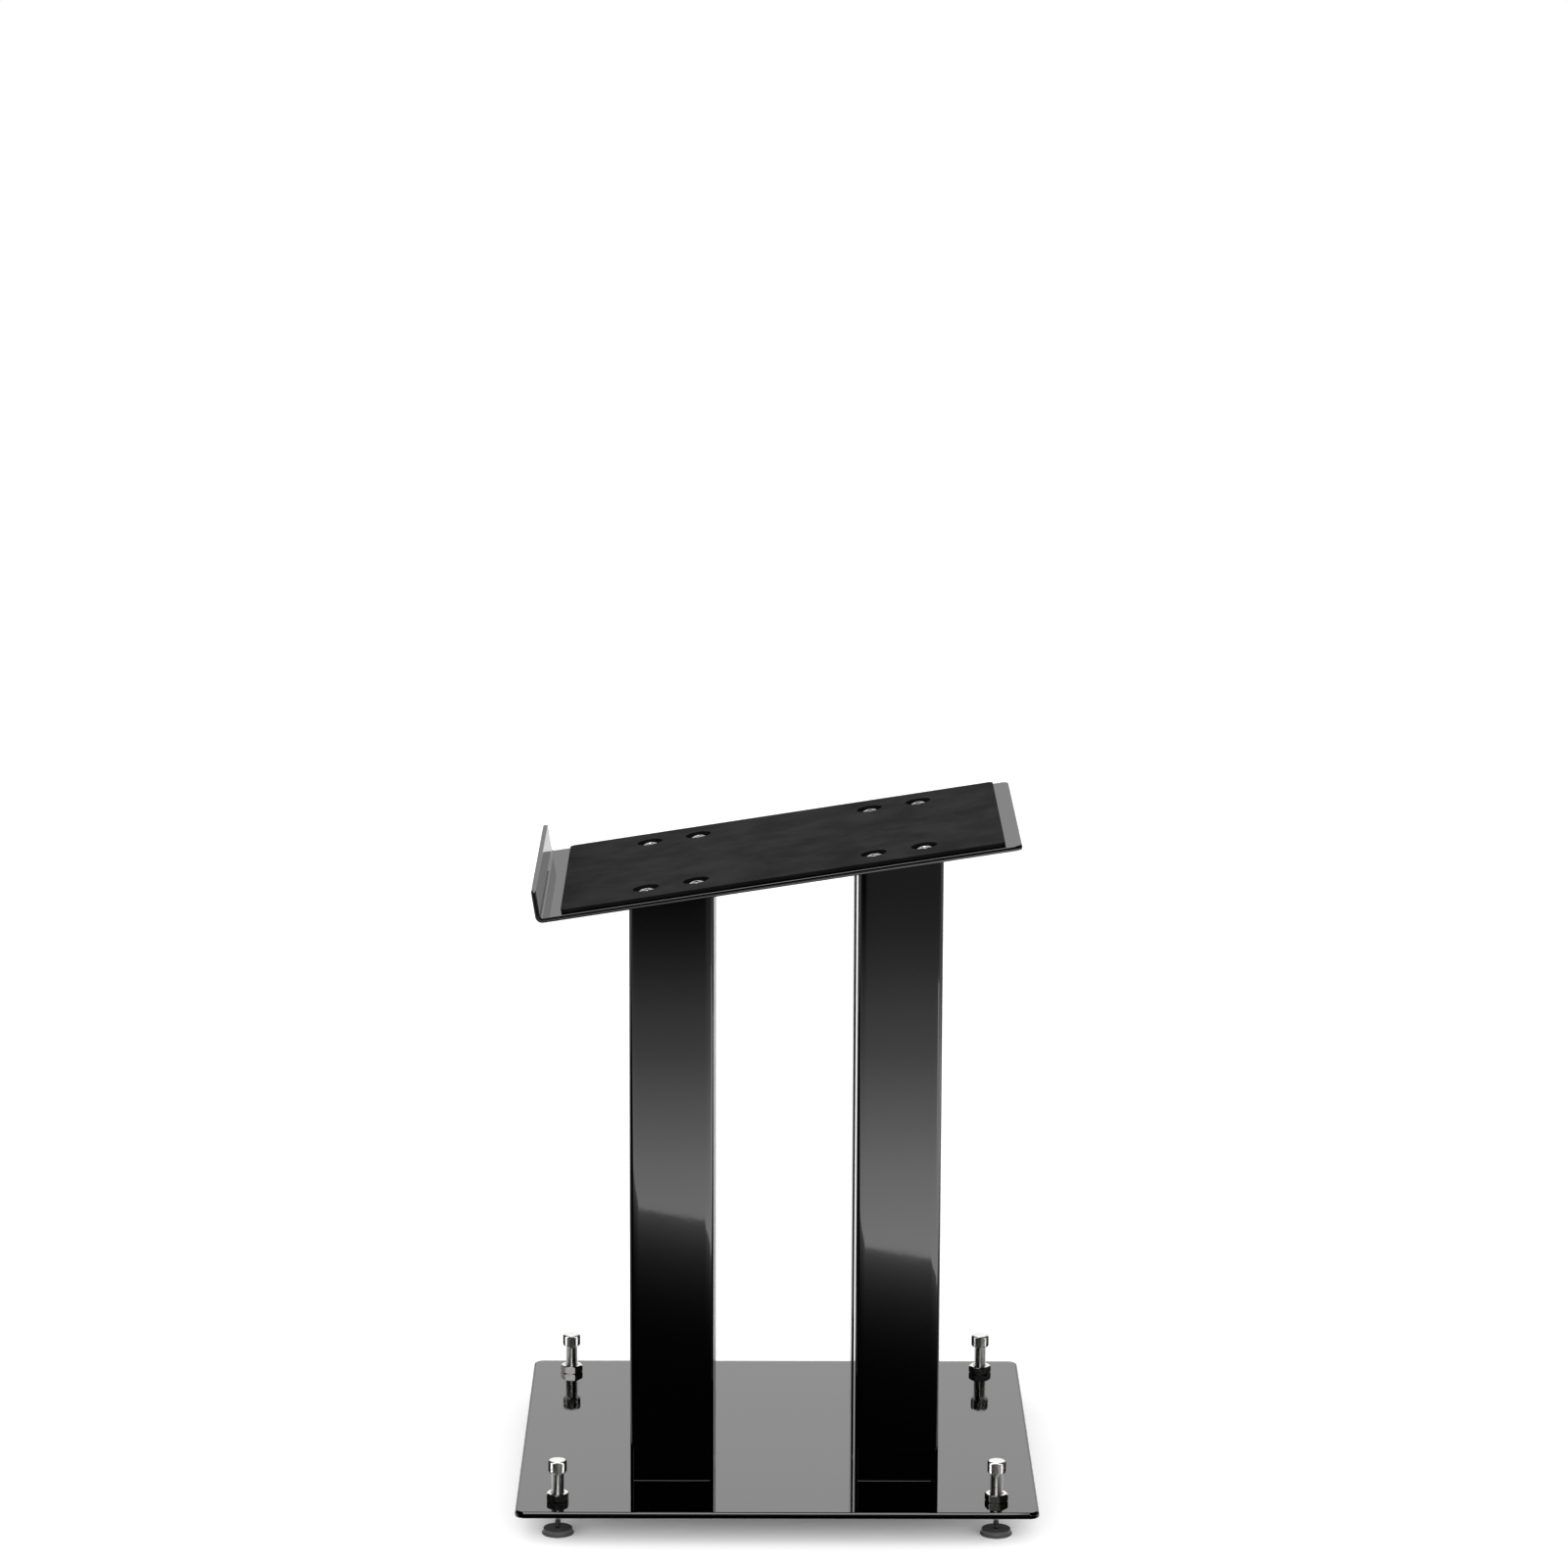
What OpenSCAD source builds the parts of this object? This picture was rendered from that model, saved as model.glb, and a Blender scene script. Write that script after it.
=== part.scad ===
// Speaker stand: four square steel tubes on a flat base plate carry a sloping, lipped top plate.
// Millimetres. The floor is z = 0. Left, right, front and rear are as seen from the long side:
// the lip is at the left (low) end, -X, and the front edge is on the -Y side.

/* [Base plate] */
// Length of the base plate, along X
base_length = 320; // [280:5:420]
// Width of the base plate, along Y
base_width = 300; // [250:5:400]
// Thickness of the base plate
base_thickness = 4; // [4:0.5:8]
// Radius of the four corners of the base plate
base_corner_radius = 6; // [2:0.5:20]
// Height of the base plate's underside above the floor
base_clearance = 17.5; // [14:0.5:22]

/* [Columns] */
// Width of each square tube
column_width = 52; // [48:1:56]
// Wall of the tubes
column_wall = 2; // [1.5:0.25:3]
// Outer radius of the tubes' vertical corners
column_corner_radius = 2.5; // [1.5:0.25:6]
// Distance between the centre lines of the left and right tubes
column_spacing = 139; // [110:0.5:180]
// Distance between the centre lines of the front and rear tubes
column_pitch_y = 130; // [100:1:134]
// How far the middle of the four tubes lies right of the base's centre
column_offset = 4.5; // [-10:0.25:10]
// Height from the base plate to the top plate, midway between the tubes
column_height = 379; // [200:1:900]
// Thickness of the plates welded into the tubes' ends
end_plate_thickness = 5; // [4:0.5:8]

/* [Top plate] */
// Slope of the top plate, in degrees, rising to the right
tilt_angle = 9; // [0:0.5:14]
// Length along the slope, from the lip's outer face to the free edge
top_length = 298; // [280:1:400]
// Width of the top plate, along Y
top_width = 190; // [184:1:260]
// Thickness of the folded sheet
top_thickness = 3; // [3:0.5:5]
// How far the plate's middle lies up the slope from the middle of the tubes
top_offset = -4.25; // [-8:0.25:4]
// Height of the lip, from the plate's underside
lip_height = 20.5; // [16:0.5:40]
// Inner radius of the fold under the lip
fold_radius = 1.5; // [0.5:0.25:4]
// Radius of the plate's two free corners
top_corner_radius = 5; // [1:0.5:12]
// Radius of the lip's two upper corners
lip_corner_radius = 1.5; // [0.5:0.25:6]

/* [Pad] */
// Thickness of the rubber pad
pad_thickness = 2.5; // [1.5:0.5:6]
// Width of the pad, along Y
pad_width = 180; // [160:1:184]
// Bare strip between the lip and the pad
pad_lip_gap = 12.5; // [4:0.5:20]
// Bare strip between the pad and the plate's free edge
pad_end_gap = 10; // [2:0.5:20]
// Radius of the pad's corners
pad_corner_radius = 3; // [1:0.5:10]
// Diameter of the holes over the screw heads
pad_hole_diameter = 16; // [13:0.5:20]

/* [Screws] */
// Diameter of the screws' shanks
screw_diameter = 6; // [6:0.5:8]
// Diameter of the countersunk heads
screw_head_diameter = 12; // [10:0.5:12]
// Length of a screw below the rim of its head
screw_length = 12; // [12:1:20]
// Rise of the top screws' crowned heads above the top plate
crown_height = 1.4; // [0.4:0.1:1.4]
// Diameter of the flat on top of a crowned head
crown_flat_diameter = 6.6; // [5:0.2:8]
// Width across the flats of the screws' hexagon sockets
screw_socket_width = 3; // [2:0.5:4]
// Depth of the screws' hexagon sockets
screw_socket_depth = 1.8; // [1:0.2:2]
// Distance between the two screws of a tube, along X
screw_pitch_x = 31; // [24:1:32]

/* [Levelling spikes] */
// Distance of the spikes from the base's left and right edges
spike_inset_x = 25.5; // [16:0.5:32]
// Distance of the spikes from the base's front and rear edges
spike_inset_y = 24; // [16:0.5:40]
// Outer diameter of the spikes' thread
thread_diameter = 7.9; // [6:0.1:8]
// How far the thread runs on below the base plate
thread_below_base = 2.5; // [2:0.25:4]
// Diameter of the cone where the thread ends
cone_diameter = 5.5; // [4:0.25:5.5]
// Diameter of the cone's blunt tip
tip_diameter = 1.8; // [0.5:0.1:2]
// Free shank between the base plate and the knurled head
shank_above_base = 18; // [17:0.5:24]
// Diameter of the knurled head
knob_diameter = 11.4; // [10:0.2:16]
// Height of the knurled head
knob_height = 7.5; // [5:0.5:12]
// Chamfer of the knurled head
knob_chamfer = 0.7; // [0.3:0.1:1.5]

/* [Locknuts] */
// Width across the flats of a locknut
nut_width = 12.7; // [12:0.1:16]
// Height of a locknut
nut_height = 4.8; // [4:0.2:8]
// Drop of the chamfer at a nut's corners
nut_chamfer = 0.6; // [0.4:0.1:0.8]
// Turn of each nut: front left, front right, rear left, rear right
nut_turns = [25, 48, 51, 2];

/* [Floor discs] */
// Diameter of the discs at the floor
disc_diameter = 19.7; // [19:0.1:30]
// Diameter of the discs' top faces
disc_top_diameter = 17.8; // [14:0.1:19]
// Thickness of the discs
disc_thickness = 3.6; // [3:0.2:5]
// Depth of the seat for the spike's tip
seat_depth = 1.5; // [1:0.1:2]
// Diameter of the seat at the top face
seat_diameter = 4; // [3:0.2:5]
// Height of a disc's upright rim at the floor
disc_rim_height = 0.8; // [0.5:0.1:1.2]
// Chamfer at a disc's two edges
disc_chamfer = 0.25; // [0.1:0.05:0.4]
// Thickness of the lip above the groove round a disc
disc_lip_thickness = 1; // [0.6:0.1:1.2]
// Height of the groove round a disc
groove_height = 0.4; // [0.2:0.1:0.6]
// Depth of the groove round a disc
groove_depth = 0.5; // [0.3:0.1:1]

/* [Clearances] */
// Radial gap between a thread and the hole that it runs in
thread_clearance = 0.05; // [0.02:0.01:0.1]
// Radial gap between a screw and the plate that it passes
screw_clearance = 0.25; // [0.1:0.05:0.5]
// Radial gap between a spike's tip and the foot of its seat
tip_clearance = 0.15; // [0.1:0.05:0.5]

/* [Hidden] */
$fn = 96;

// Colours, as they look under soft light
gloss_black = [0.07, 0.07, 0.075];
pad_black = [0.19, 0.19, 0.19];
bright_nickel = [0.78, 0.78, 0.8];
zinc_grey = [0.6, 0.61, 0.62];
disc_grey = [0.3, 0.3, 0.31];

// Heights above the floor
base_top = base_clearance + base_thickness;
slope_pivot_height = base_top + column_height;

// Places of the tubes: side_x is -1 at the left and 1 at the right, side_y -1 in front and 1 behind
function column_place(side_x, side_y) = [
    column_offset + side_x * column_spacing / 2,
    side_y * column_pitch_y / 2
];
// The same places along the top plate's slope
function column_slope_place(side_x, side_y) = [
    side_x * column_spacing / 2 / cos(tilt_angle),
    side_y * column_pitch_y / 2
];
function spike_place(side_x, side_y) = [
    side_x * (base_length / 2 - spike_inset_x),
    side_y * (base_width / 2 - spike_inset_y)
];

column_inner_radius = max(column_corner_radius - column_wall, 0.2);
column_blank_height = column_height
    + (column_spacing / 2 + column_width) * tan(tilt_angle) + end_plate_thickness;
top_left = top_offset - top_length / 2;
top_right = top_offset + top_length / 2;
fold_outer_radius = fold_radius + top_thickness;
pad_left = top_left + top_thickness + pad_lip_gap;
pad_right = top_right - pad_end_gap;
screw_head_height = (screw_head_diameter - screw_diameter) / 2;
thread_hole_diameter = thread_diameter + 2 * thread_clearance;
knob_bottom = base_top + shank_above_base;
knob_top = knob_bottom + knob_height;
thread_bottom = base_clearance - thread_below_base;
cone_top = thread_bottom - (thread_diameter - cone_diameter) / 2;
tip_bottom = disc_thickness - seat_depth;
groove_top = disc_thickness - disc_lip_thickness;
nut_corner_radius = nut_width / 2 / cos(30);
nut_face_radius = nut_corner_radius - nut_chamfer / tan(30);
// A cutting body reaches this far past the face that it cuts
overcut = 1;

// A flat plate with rounded corners, its lower face on z = 0
module rounded_plate(length, width, thickness, radius) {
    linear_extrude(thickness) {
        square([length - 2 * radius, width], center = true);
        square([length, width - 2 * radius], center = true);
        for (x = [-1, 1], y = [-1, 1])
            translate([x * (length / 2 - radius), y * (width / 2 - radius)])
                circle(radius);
    }
}

// A plate from x = 0 to length, whose two corners at the far end are rounded
module half_rounded_plate(length, width, thickness, radius) {
    linear_extrude(thickness) {
        translate([0, -width / 2]) square([length - radius, width]);
        translate([0, radius - width / 2]) square([length, width - 2 * radius]);
        for (y = [-1, 1])
            translate([length - radius, y * (width / 2 - radius)]) circle(radius);
    }
}

// Places its children on the top plate's underside: x runs up the slope, z is square to it
module on_slope() {
    translate([column_offset, 0, slope_pivot_height]) rotate([0, -tilt_angle, 0]) children();
}

// Everything that lies under the top plate's underside, down to a given depth
module under_slope(depth) {
    reach = base_length + top_length;
    on_slope() translate([-reach / 2, -reach / 2, -depth]) cube([reach, reach, depth]);
}

module column_blank(place, width, radius, bottom) {
    translate([place.x, place.y, bottom])
        rounded_plate(width, width, column_blank_height, radius);
}

module column_core(place, bottom) {
    column_blank(place, column_width - 2 * column_wall, column_inner_radius, bottom);
}

// A square tube, cut straight below and along the slope above
module column(side_x, side_y) {
    place = column_place(side_x, side_y);
    color(gloss_black)
        intersection() {
            difference() {
                column_blank(place, column_width, column_corner_radius, base_top);
                column_core(place, base_top - overcut);
            }
            under_slope(slope_pivot_height);
        }
}

// The two tapped holes or the two screws of one tube, about the origin
module screw_pattern() {
    for (side = [-1, 1]) translate([side * screw_pitch_x / 2, 0, 0]) children();
}

module tapped_hole() {
    translate([0, 0, -end_plate_thickness - overcut])
        cylinder(h = end_plate_thickness + 2 * overcut, d = screw_diameter);
}

// The plate welded into a tube's upper end, flush with its sloping cut
module top_end_plate(side_x, side_y) {
    color(gloss_black)
        difference() {
            intersection() {
                column_core(column_place(side_x, side_y), base_top);
                under_slope(end_plate_thickness);
            }
            on_slope() translate(column_slope_place(side_x, side_y)) screw_pattern() tapped_hole();
        }
}

// The plate welded into a tube's lower end, flush with its square cut
module bottom_end_plate(side_x, side_y) {
    core_width = column_width - 2 * column_wall;
    color(gloss_black)
        translate(column_place(side_x, side_y))
            translate([0, 0, base_top])
                difference() {
                    rounded_plate(core_width, core_width, end_plate_thickness,
                        column_inner_radius);
                    translate([0, 0, end_plate_thickness]) screw_pattern() tapped_hole();
                }
}

// A countersunk screw, the rim of its head on z = 0 and its shank pointing down.
// The head is flat or rises above the rim to a crown with a flat top
module countersunk_screw(crown) {
    difference() {
        union() {
            if (crown > 0)
                cylinder(h = crown, d1 = screw_head_diameter, d2 = crown_flat_diameter);
            translate([0, 0, -screw_head_height])
                cylinder(h = screw_head_height, d1 = screw_diameter, d2 = screw_head_diameter);
            translate([0, 0, -screw_length])
                cylinder(h = screw_length - screw_head_height, d = screw_diameter);
        }
        translate([0, 0, crown - screw_socket_depth])
            cylinder(h = screw_socket_depth + overcut, d = screw_socket_width / cos(30), $fn = 6);
    }
}

// The hole for such a screw through a plate whose outer face is on z = 0
module countersunk_hole(thickness) {
    translate([0, 0, -screw_head_height])
        cylinder(h = screw_head_height, d1 = screw_diameter, d2 = screw_head_diameter);
    translate([0, 0, -thickness - overcut])
        cylinder(h = thickness + overcut, d = screw_diameter + 2 * screw_clearance);
    cylinder(h = overcut, d = screw_head_diameter);
}

module top_screws(side_x, side_y) {
    color(zinc_grey)
        on_slope()
            translate(column_slope_place(side_x, side_y))
                translate([0, 0, top_thickness])
                    screw_pattern() countersunk_screw(crown_height);
}

module base_screws(side_x, side_y) {
    color(zinc_grey)
        translate(column_place(side_x, side_y))
            translate([0, 0, base_clearance])
                screw_pattern() mirror([0, 0, 1]) countersunk_screw(0);
}

module base_plate() {
    color(gloss_black)
        difference() {
            translate([0, 0, base_clearance])
                rounded_plate(base_length, base_width, base_thickness, base_corner_radius);
            for (side_x = [-1, 1], side_y = [-1, 1]) {
                translate(column_place(side_x, side_y))
                    translate([0, 0, base_clearance])
                        screw_pattern() mirror([0, 0, 1]) countersunk_hole(base_thickness);
                translate(spike_place(side_x, side_y))
                    translate([0, 0, base_clearance - overcut])
                        cylinder(h = base_thickness + 2 * overcut, d = thread_hole_diameter);
            }
        }
}

// The folded sheet: a sloping flat, a round fold and a lip square to the flat
module top_plate() {
    color(gloss_black)
        on_slope()
            difference() {
                union() {
                    translate([top_left + fold_outer_radius, 0, 0])
                        half_rounded_plate(top_length - fold_outer_radius, top_width,
                            top_thickness, top_corner_radius);
                    translate([top_left + top_thickness, 0, fold_outer_radius])
                        rotate([0, -90, 0])
                            half_rounded_plate(lip_height - fold_outer_radius, top_width,
                                top_thickness, lip_corner_radius);
                    translate([top_left + fold_outer_radius, top_width / 2, fold_outer_radius])
                        rotate([90, 0, 0]) lip_fold(top_width);
                }
                for (side_x = [-1, 1], side_y = [-1, 1])
                    translate(column_slope_place(side_x, side_y))
                        translate([0, 0, top_thickness])
                            screw_pattern() countersunk_hole(top_thickness);
            }
}

// A quarter of a ring, from straight left to straight down, along z
module lip_fold(length) {
    linear_extrude(length)
        intersection() {
            difference() {
                circle(fold_outer_radius);
                circle(fold_radius);
            }
            translate([-fold_outer_radius, -fold_outer_radius])
                square(fold_outer_radius);
        }
}

module top_pad() {
    color(pad_black)
        on_slope()
            difference() {
                translate([(pad_left + pad_right) / 2, 0, top_thickness])
                    rounded_plate(pad_right - pad_left, pad_width, pad_thickness,
                        pad_corner_radius);
                for (side_x = [-1, 1], side_y = [-1, 1])
                    translate(column_slope_place(side_x, side_y))
                        translate([0, 0, top_thickness - overcut])
                            screw_pattern()
                                cylinder(h = pad_thickness + 2 * overcut, d = pad_hole_diameter);
            }
}

// A knurled head, a threaded shank and a slender cone, turned in one piece
module spike(side_x, side_y) {
    shank = thread_diameter / 2;
    knob = knob_diameter / 2;
    color(bright_nickel)
        translate(spike_place(side_x, side_y))
            rotate_extrude()
                polygon([
                    [0, tip_bottom],
                    [tip_diameter / 2, tip_bottom],
                    [cone_diameter / 2, cone_top],
                    [shank, thread_bottom],
                    [shank, knob_bottom],
                    [knob - knob_chamfer, knob_bottom],
                    [knob, knob_bottom + knob_chamfer],
                    [knob, knob_top - knob_chamfer],
                    [knob - knob_chamfer, knob_top],
                    [0, knob_top]
                ]);
}

// A hexagon nut, chamfered at both faces, resting on the base plate
module locknut(side_x, side_y, turn) {
    color(bright_nickel)
        translate(spike_place(side_x, side_y))
            translate([0, 0, base_top])
                rotate([0, 0, turn])
                    difference() {
                        intersection() {
                            cylinder(h = nut_height, r = nut_corner_radius, $fn = 6);
                            rotate_extrude()
                                polygon([
                                    [0, 0],
                                    [nut_face_radius, 0],
                                    [nut_corner_radius, nut_chamfer],
                                    [nut_corner_radius, nut_height - nut_chamfer],
                                    [nut_face_radius, nut_height],
                                    [0, nut_height]
                                ]);
                        }
                        translate([0, 0, -overcut])
                            cylinder(h = nut_height + 2 * overcut, d = thread_hole_diameter);
                    }
}

// A floor disc: a flared foot, a groove, a flat top face and a seat for the spike's tip
module disc(side_x, side_y) {
    foot = disc_diameter / 2;
    top = disc_top_diameter / 2;
    color(disc_grey)
        translate(spike_place(side_x, side_y))
            rotate_extrude()
                polygon([
                    [0, 0],
                    [foot - disc_chamfer, 0],
                    [foot, disc_chamfer],
                    [foot, disc_rim_height],
                    [top, groove_top - groove_height],
                    [top - groove_depth, groove_top - groove_height],
                    [top - groove_depth, groove_top],
                    [top, groove_top],
                    [top, disc_thickness - disc_chamfer],
                    [top - disc_chamfer, disc_thickness],
                    [seat_diameter / 2, disc_thickness],
                    [tip_diameter / 2 + tip_clearance, tip_bottom],
                    [0, tip_bottom]
                ]);
}

module column_front_left() { column(-1, -1); }
module column_front_right() { column(1, -1); }
module column_rear_left() { column(-1, 1); }
module column_rear_right() { column(1, 1); }
module bottom_end_plate_front_left() { bottom_end_plate(-1, -1); }
module bottom_end_plate_front_right() { bottom_end_plate(1, -1); }
module bottom_end_plate_rear_left() { bottom_end_plate(-1, 1); }
module bottom_end_plate_rear_right() { bottom_end_plate(1, 1); }
module top_end_plate_front_left() { top_end_plate(-1, -1); }
module top_end_plate_front_right() { top_end_plate(1, -1); }
module top_end_plate_rear_left() { top_end_plate(-1, 1); }
module top_end_plate_rear_right() { top_end_plate(1, 1); }
module base_screws_front_left() { base_screws(-1, -1); }
module base_screws_front_right() { base_screws(1, -1); }
module base_screws_rear_left() { base_screws(-1, 1); }
module base_screws_rear_right() { base_screws(1, 1); }
module top_screws_front_left() { top_screws(-1, -1); }
module top_screws_front_right() { top_screws(1, -1); }
module top_screws_rear_left() { top_screws(-1, 1); }
module top_screws_rear_right() { top_screws(1, 1); }
module spike_front_left() { spike(-1, -1); }
module spike_front_right() { spike(1, -1); }
module spike_rear_left() { spike(-1, 1); }
module spike_rear_right() { spike(1, 1); }
module locknut_front_left() { locknut(-1, -1, nut_turns[0]); }
module locknut_front_right() { locknut(1, -1, nut_turns[1]); }
module locknut_rear_left() { locknut(-1, 1, nut_turns[2]); }
module locknut_rear_right() { locknut(1, 1, nut_turns[3]); }
module disc_front_left() { disc(-1, -1); }
module disc_front_right() { disc(1, -1); }
module disc_rear_left() { disc(-1, 1); }
module disc_rear_right() { disc(1, 1); }

base_plate();
column_front_left();
column_front_right();
column_rear_left();
column_rear_right();
bottom_end_plate_front_left();
bottom_end_plate_front_right();
bottom_end_plate_rear_left();
bottom_end_plate_rear_right();
top_end_plate_front_left();
top_end_plate_front_right();
top_end_plate_rear_left();
top_end_plate_rear_right();
base_screws_front_left();
base_screws_front_right();
base_screws_rear_left();
base_screws_rear_right();
top_plate();
top_pad();
top_screws_front_left();
top_screws_front_right();
top_screws_rear_left();
top_screws_rear_right();
spike_front_left();
spike_front_right();
spike_rear_left();
spike_rear_right();
locknut_front_left();
locknut_front_right();
locknut_rear_left();
locknut_rear_right();
disc_front_left();
disc_front_right();
disc_rear_left();
disc_rear_right();
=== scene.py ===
"""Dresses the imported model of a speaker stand: a base, four tubes and a sloping, padded top."""

from math import atan2, cos, exp, pi, radians, sin, sqrt, tan

import bmesh
import bpy
from bpy.props import FloatProperty, FloatVectorProperty, IntProperty, PointerProperty
from bpy.types import NodeSocket, Operator, Panel, PropertyGroup
from mathutils import Matrix, Vector


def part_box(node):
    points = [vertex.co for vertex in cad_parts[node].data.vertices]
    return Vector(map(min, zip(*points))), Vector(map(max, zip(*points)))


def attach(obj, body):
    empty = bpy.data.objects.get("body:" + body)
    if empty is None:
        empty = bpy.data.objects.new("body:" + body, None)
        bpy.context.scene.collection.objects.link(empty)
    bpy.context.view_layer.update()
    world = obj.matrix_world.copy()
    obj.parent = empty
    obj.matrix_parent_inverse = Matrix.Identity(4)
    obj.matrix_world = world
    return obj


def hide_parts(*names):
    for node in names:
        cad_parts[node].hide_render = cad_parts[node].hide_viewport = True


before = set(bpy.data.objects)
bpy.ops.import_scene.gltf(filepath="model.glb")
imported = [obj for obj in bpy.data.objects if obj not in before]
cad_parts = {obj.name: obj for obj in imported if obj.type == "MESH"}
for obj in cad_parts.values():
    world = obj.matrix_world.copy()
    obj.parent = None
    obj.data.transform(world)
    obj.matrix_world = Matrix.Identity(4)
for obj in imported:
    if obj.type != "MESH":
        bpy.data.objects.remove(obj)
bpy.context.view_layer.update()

bl_info = {
    "name": "Speaker stand",
    "version": (1, 0, 0),
    "blender": (4, 5, 0),
    "location": "View3D > Sidebar > Stand",
    "description": "Builds a speaker stand with four columns and a sloping top round its CAD frame",
    "category": "Add Mesh",
}

MM = 0.001
CORNERS = ("front_left", "front_right", "rear_left", "rear_right")
SHARP_ANGLE = radians(30)
# Points round a screw, a plate's hole and a disc
SCREW_STEPS, HOLE_STEPS, DISC_STEPS = 48, 64, 96


def node_size(node, axis):
    """Length of a CAD node's box along one axis, in metres."""
    low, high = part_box(node)
    return high[axis] - low[axis]


def node_middle(node):
    """The upright middle line of a CAD node's box, as X and Y in metres."""
    low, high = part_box(node)
    return (high[0] + low[0]) / 2, (high[1] + low[1]) / 2


def node_low(node):
    """Height of a CAD node's lowest point."""
    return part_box(node)[0][2]


def node_high(node):
    """Height of a CAD node's highest point."""
    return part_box(node)[1][2]


# Sizes and colours


def size(name, description, default):
    """A length that the user can change, in metres."""
    return FloatProperty(
        name=name,
        description=description,
        default=default,
        min=0.0,
        precision=5,
        subtype="DISTANCE",
        unit="LENGTH",
    )


def linear(hex_colour):
    """Linear red, green and blue of an sRGB colour written as #rrggbb."""
    channels = [int(hex_colour[i : i + 2], 16) / 255 for i in (1, 3, 5)]
    return tuple(c / 12.92 if c <= 0.04045 else ((c + 0.055) / 1.055) ** 2.4 for c in channels)


def colour(name, description, hex_colour):
    """A colour that the user can change, given in sRGB and kept in linear values."""
    return FloatVectorProperty(
        name=name,
        description=description,
        default=linear(hex_colour),
        min=0.0,
        max=1.0,
        size=3,
        subtype="COLOR",
    )


class BasePlateSizes(PropertyGroup):
    length: size("Length", "Length of the base plate", node_size("base_plate", 0))
    width: size("Width", "Width of the base plate", node_size("base_plate", 1))
    thickness: size("Thickness", "Thickness of the base plate", node_size("base_plate", 2))
    underside: size("Clearance", "Height of the underside", node_low("base_plate"))
    corner_radius: size("Corner radius", "Radius of the plate's corners", 6 * MM)
    upper_edge: size("Upper edge", "Radius of the plate's upper edge", 1.8 * MM)
    lower_edge: size("Lower edge", "Radius of the plate's lower edge", 1.0 * MM)
    hole_diameter: size("Spike holes", "Diameter of the holes for the spikes", 8.0 * MM)
    hole_easing: size("Hole easing", "Chamfer of the spike holes", 0.3 * MM)


class ColumnSizes(PropertyGroup):
    width: size("Width", "Width of a square tube", node_size("column_front_left", 0))
    wall: size("Wall", "Wall of a tube", 2 * MM)
    corner_radius: size("Corner radius", "Outer radius of a tube's corners", 2.5 * MM)
    easing: size("Easing", "Width over which a face bends before its corner", 4 * MM)
    easing_depth: size("Easing depth", "How far it falls back there", 0.16 * MM)
    end_radius: size("End radius", "Rounding of a tube's upper end", 0.25 * MM)
    bead: size("Bead", "Bead of enamel round a tube's foot", 0.2 * MM)


class TopPlateSizes(PropertyGroup):
    slope: FloatProperty(
        name="Slope",
        description="Slope of the top plate",
        default=radians(9),
        subtype="ANGLE",
        unit="ROTATION",
    )
    length: size("Length", "Length along the slope", 298 * MM)
    width: size("Width", "Width of the plate", node_size("top_plate", 1))
    thickness: size("Thickness", "Thickness of the folded sheet", 3 * MM)
    left_end: size("Left end", "From the pivot to the lip's face", 153.25 * MM)
    lip_height: size("Lip height", "Height of the lip from the underside", 20.5 * MM)
    fold_radius: size("Fold radius", "Inner radius of the fold", 1.5 * MM)
    corner_radius: size("Corner radius", "Radius of the two free corners", 5 * MM)
    lip_corner_radius: size("Lip corners", "Radius of the lip's corners", 1.5 * MM)
    upper_edge: size("Upper edge", "Radius of the sheet's upper edges", 0.45 * MM)
    lower_edge: size("Lower edge", "Radius of the sheet's lower edges", 0.3 * MM)
    crown: size("Crown", "How far the enamel bulges on the sheet's cut edges", 0.17 * MM)
    pivot_x: size("Pivot X", "Middle of the four tubes", 4.5 * MM)
    pivot_height: size("Pivot height", "Height of the underside there", 400.5 * MM)


class PadSizes(PropertyGroup):
    thickness: size("Thickness", "Thickness of the pad", 2.5 * MM)
    width: size("Width", "Width of the pad", node_size("top_pad", 1))
    lip_gap: size("Gap at the lip", "Bare strip between lip and pad", 12.5 * MM)
    end_gap: size("Gap at the end", "Bare strip at the free edge", 10 * MM)
    corner_radius: size("Corner radius", "Radius of the pad's corners", 3 * MM)
    edge_radius: size("Edge radius", "Rounding of the cut edges", 0.3 * MM)
    hole_diameter: size("Holes", "Diameter of the holes", 16 * MM)


class ScrewSizes(PropertyGroup):
    diameter: size("Shank", "Outer diameter of the thread", 6 * MM)
    head_diameter: size("Head", "Diameter of the head", 12 * MM)
    length: size("Length", "Full length, head included", 12 * MM)
    pitch: size("Pitch", "Distance between two turns of the thread", 1 * MM)
    crown_height: size("Crown", "Rise of the top screws' heads", 1.4 * MM)
    crown_flat: size("Crown flat", "Diameter of the flat on top of a crown", 6.6 * MM)
    socket_width: size("Socket", "Width across the socket's flats", 3 * MM)
    socket_depth: size("Socket depth", "Depth of the socket", 1.8 * MM)
    spacing: size("Spacing", "Distance between a tube's two screws", 31 * MM)
    clearance: size("Clearance", "Gap between a shank and its hole", 0.25 * MM)


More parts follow.
